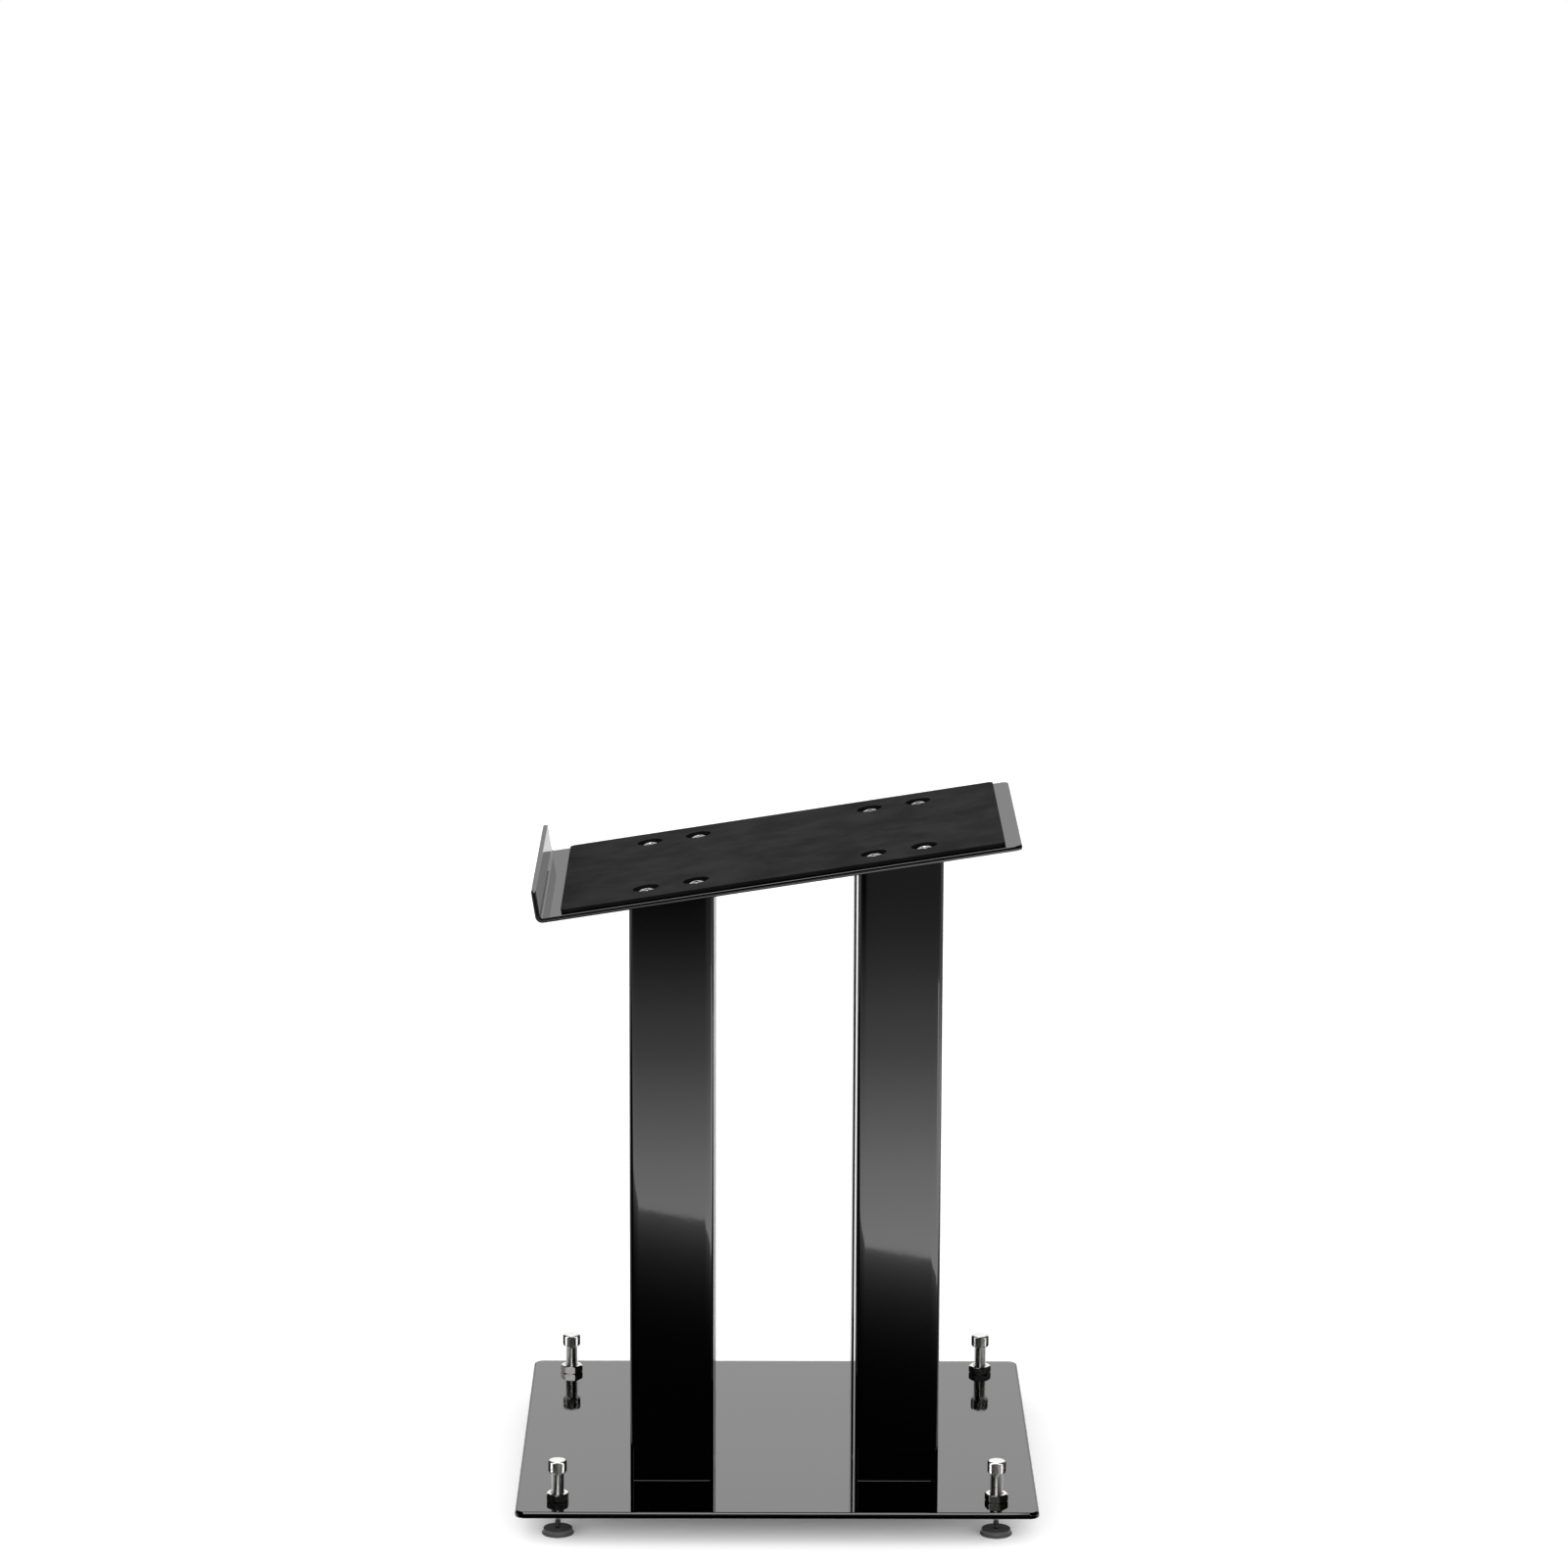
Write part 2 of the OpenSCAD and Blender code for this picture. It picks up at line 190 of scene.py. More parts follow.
class SpikeSizes(PropertyGroup):
    thread_diameter: size("Thread", "Outer diameter of the thread", 7.9 * MM)
    pitch: size("Pitch", "Distance between two turns", 25.4 * MM / 18)
    thread_bottom: size("Thread start", "Height where the thread starts", 15 * MM)
    cone_diameter: size("Cone", "Diameter where the cone starts", 5.5 * MM)
    tip_diameter: size("Tip", "Diameter of the blunt tip", 1.8 * MM)
    tip_bottom: size("Tip height", "Height of the tip", node_low("spike_front_left"))
    knob_diameter: size("Knob", "Diameter of the head", node_size("spike_front_left", 0))
    knob_height: size("Knob height", "Height of the head", 7.5 * MM)
    knob_top: size("Knob top", "Height of the head's top", node_high("spike_front_left"))
    knob_chamfer: size("Chamfer", "Chamfer of the head", 0.7 * MM)
    knurl_depth: size("Knurl depth", "Depth of the knurl's grooves", 0.36 * MM)
    knurl_count: IntProperty(
        name="Knurl count", description="Diamonds round the head", default=36, min=12, max=60
    )


class NutSizes(PropertyGroup):
    width: size("Width", "Width across the flats", 12.7 * MM)
    height: size("Height", "Height of a nut", node_size("locknut_front_left", 2))
    chamfer: size("Chamfer", "Drop of the chamfer at the corners", 0.6 * MM)
    corner_radius: size("Corner radius", "Rounding of the six corners", 0.35 * MM)
    bore_diameter: size("Bore", "Diameter of the threaded bore", 8 * MM)
    countersink: size("Countersink", "Depth of the bore's countersink", 0.45 * MM)
    turns: FloatVectorProperty(
        name="Turns",
        description="Turn of each nut: front left, front right, rear left, rear right",
        default=(radians(25), radians(48), radians(51), radians(2)),
        size=4,
        subtype="EULER",
    )


class DiscSizes(PropertyGroup):
    diameter: size("Foot", "Diameter at the floor", node_size("disc_front_left", 0))
    top_diameter: size("Top", "Diameter of the top face", 17.8 * MM)
    thickness: size("Thickness", "Thickness of a disc", node_size("disc_front_left", 2))
    seat_depth: size("Seat depth", "Depth of the seat for the tip", 1.5 * MM)
    seat_diameter: size("Seat", "Diameter of the seat at the top", 4 * MM)
    tip_clearance: size("Tip gap", "Gap round the spike's tip", 0.15 * MM)
    rim_height: size("Rim", "Height of the rim at the floor", 0.8 * MM)
    edge_radius: size("Edge radius", "Rounding of the two edges", 0.25 * MM)
    lip_thickness: size("Lip", "Thickness of the upper rim", 0.6 * MM)
    waist_depth: size("Waist", "How far the side falls back below the upper rim", 0.45 * MM)


class FinishColours(PropertyGroup):
    enamel: colour("Enamel", "Colour of the steel's stoved enamel", "#010101")
    rubber: colour("Foam rubber", "Colour of the pad", "#252526")
    zinc: colour("Zinc", "Colour of the screws' plating", "#b9babb")
    nickel: colour("Nickel", "Colour of the spikes' and nuts' plating", "#d2d1ce")
    disc: colour("Discs", "Colour of the floor discs", "#434344")
    floor: colour("Floor", "Colour of the paper under the stand", "#f2f2f2")


class StandSettings(PropertyGroup):
    base_plate: PointerProperty(type=BasePlateSizes)
    column: PointerProperty(type=ColumnSizes)
    top_plate: PointerProperty(type=TopPlateSizes)
    pad: PointerProperty(type=PadSizes)
    screw: PointerProperty(type=ScrewSizes)
    spike: PointerProperty(type=SpikeSizes)
    nut: PointerProperty(type=NutSizes)
    disc: PointerProperty(type=DiscSizes)
    colours: PointerProperty(type=FinishColours)


# Mesh helpers


def loft(mesh, rings, closed=False):
    """Joins rings of points, counter-clockwise from above, that follow each other upwards. The
    ends are capped, or joined to each other."""
    rows = [[mesh.verts.new(point) for point in ring] for ring in rings]
    pairs = list(zip(rows, rows[1:]))
    if closed:
        pairs.append((rows[-1], rows[0]))
    else:
        mesh.faces.new(list(reversed(rows[0])))
        mesh.faces.new(rows[-1])
    for low, high in pairs:
        for i in range(len(low)):
            j = (i + 1) % len(low)
            mesh.faces.new((low[i], low[j], high[j], high[i]))
    return rows


def place_new(mesh, start, matrix):
    """Moves the vertices that were added to a bmesh after its first ones."""
    mesh.verts.ensure_lookup_table()
    bmesh.ops.transform(mesh, matrix=matrix, verts=mesh.verts[start:])


def even_angles(count):
    """Evenly spaced angles round a full turn."""
    return [2 * pi * i / count for i in range(count)]


def ring(radius, height, angles):
    """Points round the z axis. Radius and height are numbers or functions of the angle."""
    points = []
    for angle in angles:
        r = radius(angle) if callable(radius) else radius
        z = height(angle) if callable(height) else height
        points.append((r * cos(angle), r * sin(angle), z))
    return points


def turned(mesh, profile, count, matrix=None):
    """Adds a closed solid of revolution. The profile's points are radius and height, going up."""
    start = len(mesh.verts)
    angles = even_angles(count)
    loft(mesh, [ring(radius, height, angles) for radius, height in profile])
    if matrix:
        place_new(mesh, start, matrix)


def outline(length, width, radii, inset, steps):
    """A rectangle's outline. The radii are those of the corners at +x +y, -x +y, -x -y, +x -y."""
    sides = ((1, 1, 0), (-1, 1, 90), (-1, -1, 180), (1, -1, 270))
    least_radius = 0.02 * MM
    points = []
    for (side_x, side_y, start), radius in zip(sides, radii):
        r = max(radius - inset, least_radius)
        centre_x = side_x * (length / 2 - inset - r)
        centre_y = side_y * (width / 2 - inset - r)
        for k in range(steps + 1):
            angle = radians(start + 90 * k / steps)
            points.append((centre_x + r * cos(angle), centre_y + r * sin(angle)))
    return points


def rounded_edges(thickness, lower, upper, crown=0.0, steps=6):
    """Insets and heights of the rings that round a plate's lower and upper edges. Between
    them the rim may bulge by a crown, as thick enamel makes it do on a cut edge."""
    angles = [radians(90 * k / steps) for k in range(steps + 1)]
    below = [(crown + lower * (1 - sin(a)), lower * (1 - cos(a))) for a in angles]
    above = [(crown + upper * (1 - sin(a)), thickness - upper * (1 - cos(a))) for a in angles]
    bulge = []
    if crown:
        middle, half = (thickness + lower - upper) / 2, (thickness - lower - upper) / 2
        shares = [k / 5 for k in range(-4, 5)]
        bulge = [(crown * share**2, middle + half * share) for share in shares]
    return below + bulge + above[::-1]


def plate(length, width, thickness, radii, edges, steps=8):
    """A flat plate with rounded corners, its lower face on z = 0. Its edges are the radii of
    the lower and the upper edge and, if there is one, the crown between them."""
    mesh = bmesh.new()
    rings = [
        [(x, y, height) for x, y in outline(length, width, radii, inset, steps)]
        for inset, height in rounded_edges(thickness, *edges)
    ]
    loft(mesh, rings)
    return mesh


def hexagon_radius(width, rounding=0.0):
    """The radius of a hexagon, with its corners at 0, 60, ... degrees, as a function of angle."""
    apothem = width / 2
    centre = (apothem - rounding) / cos(radians(30))
    reach = atan2(rounding / 2, centre + rounding * cos(radians(30)))

    def radius(angle):
        off = abs((angle + radians(30)) % radians(60) - radians(30))
        if off < reach:
            return centre * cos(off) + sqrt(rounding**2 - (centre * sin(off)) ** 2)
        return apothem / cos(radians(30) - off)

    return radius


def thread_relief(height, angle, pitch):
    """How deep a right-hand thread is cut at a place: 0 on its crest, 1 in its root."""
    flat_crest, flank = 0.12, 0.66
    phase = (height / pitch - angle / (2 * pi)) % 1
    from_crest = 2 * min(phase, 1 - phase)
    return min(max((from_crest - flat_crest) / flank, 0.0), 1.0)


def to_mesh(source, name, matrix=None):
    """Turns a bmesh into mesh data, placed by a matrix if there is one."""
    bmesh.ops.recalc_face_normals(source, faces=source.faces)
    if matrix is not None:
        source.transform(matrix)
    data = bpy.data.meshes.new(name)
    source.to_mesh(data)
    source.free()
    return data


def cut(data, cutters):
    """Cuts a bmesh of closed cutters out of mesh data and gives the new mesh data."""
    body = bpy.data.objects.new("cut_body", data)
    tool = bpy.data.objects.new("cut_tool", to_mesh(cutters, "cut_tool"))
    for item in (body, tool):
        bpy.context.scene.collection.objects.link(item)
    boolean = body.modifiers.new("cut", "BOOLEAN")
    boolean.operation = "DIFFERENCE"
    boolean.solver = "EXACT"
    boolean.object = tool
    evaluated = body.evaluated_get(bpy.context.evaluated_depsgraph_get())
    result = bpy.data.meshes.new_from_object(evaluated)
    result.name = data.name
    for item in (body, tool):
        spent = item.data
        bpy.data.objects.remove(item)
        bpy.data.meshes.remove(spent)
    if len(result.polygons) == 0:
        raise RuntimeError(f"{result.name}: the cut left nothing")
    return result


def smooth(data, keep_round=None):
    """Smooth shading with sharp edges. keep_round gives heights with no sharp edge between."""
    data.shade_smooth()
    data.set_sharp_from_angle(angle=SHARP_ANGLE)
    if keep_round:
        low, high = keep_round
        for edge in data.edges:
            heights = [data.vertices[v].co.z for v in edge.vertices]
            if low < min(heights) and max(heights) < high:
                edge.use_edge_sharp = False


def add_piece(name, data, body, slot, node, place=(0, 0, 0), turn=0.0, weighted=True):
    """Links a finished piece, which stands for its CAD node and rides on its body."""
    piece = bpy.data.objects.new(name, data)
    piece.location = place
    piece.rotation_euler = (0, 0, turn)
    bpy.context.scene.collection.objects.link(piece)
    if not data.materials:
        data.materials.append(slot_material(slot))
    if weighted:
        normals = piece.modifiers.new("flat faces", "WEIGHTED_NORMAL")
        normals.keep_sharp = True
    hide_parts(node)
    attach(piece, body)
    return piece


def add_at_spikes(data, name, body, slot, node, height=0.0, turns=(0.0,) * 4, weighted=True):
    """Adds one shape at all four corners, on the spikes' middle lines."""
    for corner, turn in zip(CORNERS, turns):
        names = (f"{name}_{corner}", data, f"{body}_{corner}", slot, f"{node}_{corner}")
        add_piece(*names, (*node_middle(f"spike_{corner}"), height), turn, weighted)


def slope_matrix(top):
    """Places what is drawn on the slope: x up the slope, z square to the plate's underside."""
    pivot = Matrix.Translation((top.pivot_x, 0, top.pivot_height))
    return pivot @ Matrix.Rotation(-top.slope, 4, "Y")


def screw_places(screw, top=None):
    """The places of two screws in each tube's end, with the tube's corner. Those through the
    top plate are measured up the slope."""
    places = []
    for corner in CORNERS:
        x, y = node_middle(f"column_{corner}")
        middle = x if top is None else (x - top.pivot_x) / cos(top.slope)
        places += [(corner, middle + side * screw.spacing / 2, y) for side in (-1, 1)]
    return places


def countersunk_cutter(mesh, screw, thickness, matrix):
    """Adds the cutter for a screw's hole through a plate whose outer face is on z = 0."""
    head, shank = screw.head_diameter / 2, screw.diameter / 2
    bore = shank + screw.clearance
    profile = [
        (bore, -thickness - MM), (bore, shank - head + screw.clearance), (head, 0.0), (head, MM)
    ]
    turned(mesh, profile, SCREW_STEPS, matrix)


# Materials


def add_node(tree, kind, inputs=None, **settings):
    """Adds a shader node. Each input is a value, or the socket that it is linked from."""
    node = tree.nodes.new("ShaderNode" + kind)
    for name, value in settings.items():
        setattr(node, name, value)
    for socket, value in (inputs or {}).items():
        if isinstance(value, NodeSocket):
            tree.links.new(value, node.inputs[socket])
        else:
            node.inputs[socket].default_value = value
    return node


def shared_material(name, build, *values):
    """The material of this name. The first call makes it, and builds its shader from values."""
    made = bpy.data.materials.get(name)
    if made is None:
        made = bpy.data.materials.new(name)
        made.use_nodes = True
        tree = made.node_tree
        tree.nodes.clear()
        shader = build(tree, *values)
        add_node(tree, "OutputMaterial", {"Surface": shader.outputs[0]})
    return made


def rgba(value, factor=1.0):
    """A colour socket's value, from three linear channels."""
    return tuple(min(channel * factor, 1.0) for channel in value) + (1.0,)


def grain(tree, place, width, detail, roughness, strength, depth):
    """Fine marks of this width and depth in millimetres: their level, and the bumpy normal."""
    marks = {"Scale": 1000 / width, "Detail": detail, "Roughness": roughness}
    level = add_node(tree, "TexNoise", {"Vector": place, **marks}).outputs["Fac"]
    bump = {"Strength": strength, "Distance": depth * MM, "Height": level}
    return level, add_node(tree, "Bump", bump).outputs["Normal"]


def stoved_enamel(tree, colours):
    """Steel with gloss black stoved enamel: a deep black that mirrors the studio."""
    place = add_node(tree, "TexCoord").outputs["Object"]
    # Orange peel, 2.5 mm from crest to crest: mirrored edges waver very slightly
    _, normal = grain(tree, place, 2.5, detail=1.0, roughness=0.4, strength=0.6, depth=0.003)
    # Haze from handling, in soft patches about 40 mm wide
    haze = add_node(tree, "TexNoise", {"Vector": place, "Scale": 1000 / 40, "Detail": 3.0})
    hazed = {"From Min": 0.35, "From Max": 0.7, "To Min": 0.025, "To Max": 0.05}
    roughness = add_node(tree, "MapRange", {"Value": haze.outputs["Fac"], **hazed})
    look = {"IOR": 1.5, "Roughness": roughness.outputs["Result"], "Normal": normal}
    return add_node(tree, "BsdfPrincipled", {"Base Color": rgba(colours.enamel), **look})


def foam_rubber(tree, colours):
    """Die-cut foam rubber: matt, dark grey, mottled by its fine closed cells, with painted shade on
    its cut edges.
    """
    coordinates = add_node(tree, "TexCoord").outputs
    place = coordinates["Object"]
    # Cells are about 0.3 mm; drawn at 0.8 mm so that they show at the photograph's scale
    cells, normal = grain(tree, place, 0.8, detail=2.0, roughness=0.5, strength=0.3, depth=0.08)
    # Slow clouds where the skin was rubbed or dusted
    cloud = {"Scale": 1000 / 30, "Detail": 4.0, "Roughness": 0.6}
    clouds = add_node(tree, "TexNoise", {"Vector": place, **cloud}).outputs["Fac"]
    mottle = add_node(tree, "Mix", {0: 0.75, 2: cells, 3: clouds}, data_type="FLOAT")
    tone = add_node(tree, "ValToRGB", {"Fac": mottle.outputs["Result"]})
    for element, (position, factor) in zip(tone.color_ramp.elements, ((0.36, 0.6), (0.64, 1.4))):
        element.position = position
        element.color = rgba(colours.rubber, factor)
    # Painted shade: faces that turn away from up, such as the die-cut edges, are darkened in the
    # colour
    facing = add_node(tree, "SeparateXYZ", {"Vector": coordinates["Normal"]})
    side_shade_range = {"From Min": 0.3, "From Max": 0.8, "To Min": 0.12, "To Max": 1.0}
    painted_side_shade = add_node(tree, "MapRange", {"Value": facing.outputs["Z"], **side_shade_range})
    tones = {0: painted_side_shade.outputs["Result"], 6: (0, 0, 0, 1), 7: tone.outputs["Color"]}
    surface = add_node(tree, "Mix", tones, data_type="RGBA").outputs[2]
    look = {"Roughness": 0.85, "IOR": 1.45, "Specular IOR Level": 0.08, "Normal": normal}
    return add_node(tree, "BsdfPrincipled", {"Base Color": surface, **look})


def plated_metal(tree, base, roughness, width, depth):
    """Bright plating over turned or rolled steel, with fine marks round the tool's path."""
    place = add_node(tree, "TexCoord").outputs["Object"]
    marks, normal = grain(tree, place, width, detail=3.0, roughness=0.6, strength=0.5, depth=depth)
    least, most = roughness * 0.8, roughness * 1.3
    blurred = {"From Min": 0.3, "From Max": 0.7, "To Min": least, "To Max": most}
    blur = add_node(tree, "MapRange", {"Value": marks, **blurred})
    look = {"Metallic": 1.0, "Roughness": blur.outputs["Result"], "Normal": normal}
    return add_node(tree, "BsdfPrincipled", {"Base Color": rgba(base), **look})


def nickel_plate(tree, colours):
    """Bright nickel on turned steel: nearly a mirror, faintly warm."""
    return plated_metal(tree, colours.nickel, roughness=0.12, width=0.8, depth=0.004)


def zinc_plate(tree, colours):
    """Bright zinc on cold-headed steel: cooler and a little duller than nickel."""
    return plated_metal(tree, colours.zinc, roughness=0.22, width=0.6, depth=0.01)


def satin_paint(tree, colours):
    """Die-cast zinc with satin dark grey paint: soft and dull, with a weak wide sheen."""
    place = add_node(tree, "TexCoord").outputs["Object"]
    # The paint's fine texture, 0.5 mm from crest to crest
    _, normal = grain(tree, place, 0.5, detail=2.0, roughness=0.5, strength=0.4, depth=0.01)
    look = {"Roughness": 0.42, "IOR": 1.5, "Normal": normal}
    return add_node(tree, "BsdfPrincipled", {"Base Color": rgba(colours.disc), **look})


FINISHES = {
    "gloss_black_steel": ("stoved_gloss_enamel", stoved_enamel),
    "rubber_pad": ("die_cut_foam_rubber", foam_rubber),
    "zinc_screws": ("bright_zinc_plate", zinc_plate),
    "bright_nickel": ("bright_nickel_plate", nickel_plate),
    "grey_discs": ("satin_grey_paint", satin_paint),
}


def slot_material(slot):
    """The material of one of the record's slots."""
    name, build = FINISHES[slot]
    return shared_material(name, build, bpy.context.scene.speaker_stand.colours)


# Pieces


class STAND_OT_base_plate(Operator):
    """Builds the base plate with rounded edges, spike holes and countersinks"""

    bl_idname = "speaker_stand.base_plate"
    bl_label = "Base plate"

    def execute(self, context):
        stand = context.scene.speaker_stand
        base, screw = stand.base_plate, stand.screw
        radii = [base.corner_radius] * 4
        edges = (base.lower_edge, base.upper_edge)
        sheet = plate(base.length, base.width, base.thickness, radii, edges, steps=12)
        data = to_mesh(sheet, "steel_base", Matrix.Translation((0, 0, base.underside)))
        cutters = bmesh.new()
        for _, x, y in screw_places(screw):
            place = Matrix.Translation((x, y, base.underside))
            flip = Matrix.Rotation(pi, 4, "X")
            countersunk_cutter(cutters, screw, base.thickness, place @ flip)
        radius, ease = base.hole_diameter / 2, base.hole_easing
        profile = [
            (radius + ease + MM, -MM),
            (radius + ease, 0.0),
            (radius, ease),
            (radius, base.thickness - ease),
            (radius + ease, base.thickness),
            (radius + ease + MM, base.thickness + MM),
        ]
        for corner in CORNERS:
            place = Matrix.Translation((*node_middle(f"spike_{corner}"), base.underside))
            turned(cutters, profile, HOLE_STEPS, place)
        data = cut(data, cutters)
        smooth(data)
        add_piece("steel_base", data, "stand", "gloss_black_steel", "base_plate")
        return {"FINISHED"}


def tube_outline(tube, inset, steps=10):
    """The outline of a square tube, whose faces bend slightly before each rounded corner."""
    tilt = 2 * tube.easing_depth / tube.easing
    radius = tube.corner_radius - inset
    start = tube.width / 2 - inset - radius
    shares = [k / 5 for k in range(1, 5)]
    bend = [
        (start + radius - tube.easing_depth * share**2, start - tube.easing * (1 - share))
        for share in shares
    ]
    centre = start - tube.easing_depth
    angles = [tilt + (pi / 2 - 2 * tilt) * k / steps for k in range(steps + 1)]
    arc = [(centre + radius * cos(angle), centre + radius * sin(angle)) for angle in angles]
    quarter = bend + arc + [(y, x) for x, y in reversed(bend)]
    points = []
    for _ in range(4):
        points += quarter
        quarter = [(-y, x) for x, y in quarter]
    return points


class STAND_OT_columns(Operator):
    """Builds the four square tubes, cut straight below and along the slope above"""

    bl_idname = "speaker_stand.columns"
    bl_label = "Columns"

    def execute(self, context):
        stand = context.scene.speaker_stand
        tube, top, base = stand.column, stand.top_plate, stand.base_plate
        bottom = base.underside + base.thickness
        ease = tube.end_radius
        # Insets and heights of the rings at the two ends
        upper_rings = (0.0, ease), (ease * 0.3, ease * 0.3), (ease, 0.0)
        foot_rings = [
            (-tube.bead * cos(radians(step)), tube.bead * sin(radians(step)))
            for step in (0, 20, 40, 60, 80, 90)
        ]
        inner = tube_outline(tube, tube.wall)
        for corner in CORNERS:
            middle_x, middle_y = node_middle(f"column_{corner}")

            def under_top(x, drop):
                """Height of the slope over a place of this tube, less a drop."""
                rise = (middle_x + x - top.pivot_x) * tan(top.slope)
                return top.pivot_height + rise - drop

            rows = [
                [(x, y, bottom + height) for x, y in tube_outline(tube, inset)]
                for inset, height in foot_rings
            ]
            rows += [
                [(x, y, under_top(x, drop)) for x, y in tube_outline(tube, inset)]
                for inset, drop in upper_rings
            ]
            rows.append([(x, y, under_top(x, 0)) for x, y in inner])
            rows.append([(x, y, bottom) for x, y in inner])
            mesh = bmesh.new()
            loft(mesh, rows, closed=True)
            name, node = f"tube_{corner}", f"column_{corner}"
            data = to_mesh(mesh, name, Matrix.Translation((middle_x, middle_y, 0)))
            smooth(data)
            add_piece(name, data, "stand", "gloss_black_steel", node)
        return {"FINISHED"}


class STAND_OT_end_plates(Operator):
    """Enamels the eight plates welded into the tubes' ends, which keep their CAD shape"""

    bl_idname = "speaker_stand.end_plates"
    bl_label = "End plates"

    def execute(self, context):
        enamel = slot_material("gloss_black_steel")
        for end in ("bottom", "top"):
            for corner in CORNERS:
                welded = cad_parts[f"{end}_end_plate_{corner}"]
                welded.data.materials.clear()
                welded.data.materials.append(enamel)
        return {"FINISHED"}


class STAND_OT_top_plate(Operator):
    """Builds the sloping top plate, folded up into a lip at its low end"""

    bl_idname = "speaker_stand.top_plate"
    bl_label = "Top plate"

    def execute(self, context):
        stand = context.scene.speaker_stand
        top, screw = stand.top_plate, stand.screw
        outer = top.fold_radius + top.thickness
        lip = top.lip_height - outer
        fold = (top.fold_radius + top.thickness / 2) * pi / 2
        unfolded = lip + fold + top.length - outer
        free, low = top.corner_radius, top.lip_corner_radius
        edges = (top.lower_edge, top.upper_edge, top.crown)
        radii = [free, low, low, free]
        sheet = plate(unfolded, top.width, top.thickness, radii, edges, steps=10)
        sheet.transform(Matrix.Translation((unfolded / 2, 0, 0)))
        fold_steps = 14
        for k in range(fold_steps + 1):
            bmesh.ops.bisect_plane(
                sheet,
                geom=sheet.verts[:] + sheet.edges[:] + sheet.faces[:],
                dist=0.001 * MM,
                plane_co=(lip + fold * k / fold_steps, 0, 0),
                plane_no=(1, 0, 0),
            )
        centre_x, centre_z = outer - top.left_end, outer
        for vertex in sheet.verts:
            along, across, through = vertex.co
            radius = outer - through
            if along <= lip:
                x, z = centre_x - radius, centre_z + lip - along
            elif along < lip + fold:
                angle = (along - lip) / fold * pi / 2
                x, z = centre_x - radius * cos(angle), centre_z - radius * sin(angle)
            else:
                x, z = centre_x + along - lip - fold, through
            vertex.co = (x, across, z)
        data = to_mesh(sheet, "folded_top")
        cutters = bmesh.new()
        for _, x, y in screw_places(screw, top):
            place = Matrix.Translation((x, y, top.thickness))
            countersunk_cutter(cutters, screw, top.thickness, place)
        data = cut(data, cutters)
        data.transform(slope_matrix(top))
        smooth(data)
        add_piece("folded_top", data, "stand", "gloss_black_steel", "top_plate")
        return {"FINISHED"}


class STAND_OT_top_pad(Operator):
    """Builds the die-cut rubber pad with its eight holes"""

    bl_idname = "speaker_stand.top_pad"
    bl_label = "Pad"

    def execute(self, context):
        stand = context.scene.speaker_stand
        pad, top, screw = stand.pad, stand.top_plate, stand.screw
        left = -top.left_end + top.thickness + pad.lip_gap
        right = top.length - top.left_end - pad.end_gap
        ease = pad.edge_radius
        radii = [pad.corner_radius] * 4
        sheet = plate(right - left, pad.width, pad.thickness, radii, (ease, ease))
        place = Matrix.Translation(((left + right) / 2, 0, top.thickness))
        data = to_mesh(sheet, "rubber_mat", place)
        cutters = bmesh.new()
        radius = pad.hole_diameter / 2
        profile = [
            (radius, -MM),
            (radius, pad.thickness - ease),
            (radius + 0.3 * ease, pad.thickness - 0.3 * ease),
            (radius + ease, pad.thickness),
            (radius + ease + MM, pad.thickness + MM),
        ]
        for _, x, y in screw_places(screw, top):
            place = Matrix.Translation((x, y, top.thickness))
            turned(cutters, profile, HOLE_STEPS, place)
        data = cut(data, cutters)
        data.transform(slope_matrix(top))
        smooth(data)
        piece = add_piece("rubber_mat", data, "stand", "rubber_pad", "top_pad")
        return {"FINISHED"}


def screw_mesh(mesh, screw, crown, matrix):
    """Adds a countersunk screw with a thread and a hexagon socket. The rim of its head is on
    z = 0, and the head is flat or rises to a crown with a flat top."""
    head, shank = screw.head_diameter / 2, screw.diameter / 2
    angles = even_angles(SCREW_STEPS)
    socket = hexagon_radius(screw.socket_width)
    socket_mouth = hexagon_radius(screw.socket_width + 0.4 * MM)
    neck, plain_end, bevel = shank - head, 0.6 * MM, 0.15 * MM
    thread_depth = 0.6 * screw.pitch
    rows = [ring(shank * share, -screw.length, angles) for share in (0.3, 0.8)]
    per_turn = 12
    count = round((screw.length + neck - 2 * plain_end) / screw.pitch * per_turn)
    for k in range(count):
        height = -screw.length + plain_end + k * screw.pitch / per_turn

        def thread(angle, height=height):
            return shank - thread_depth * thread_relief(height, angle, screw.pitch)

        rows.append(ring(thread, height, angles))
    rows += [
        ring(shank, neck - 2 * bevel, angles),
        ring(shank, neck, angles),
        ring(head - bevel, -bevel, angles),
        ring(head, -bevel / 3, angles),
        ring(head - bevel * 2 / 3, 0.0, angles),
    ]
    if crown:
        # The crown's side bulges, and the flat starts with a narrow bevel
        flat = screw.crown_flat / 2
        for share in (0.25, 0.5, 0.75, 1.0):
            bulge = sin(share * pi / 2)
            rows.append(ring(head - (head - flat) * share, crown * 0.9 * bulge, angles))
        rows.append(ring(flat - bevel, crown, angles))
    floor = crown - screw.socket_depth
    rows += [
        ring(socket_mouth, crown, angles),
        ring(socket, crown - 0.2 * MM, angles),
        ring(socket, floor, angles),
        ring(0.3 * MM, floor - 0.25 * MM, angles),
    ]
    start = len(mesh.verts)
    loft(mesh, rows)
    place_new(mesh, start, matrix)


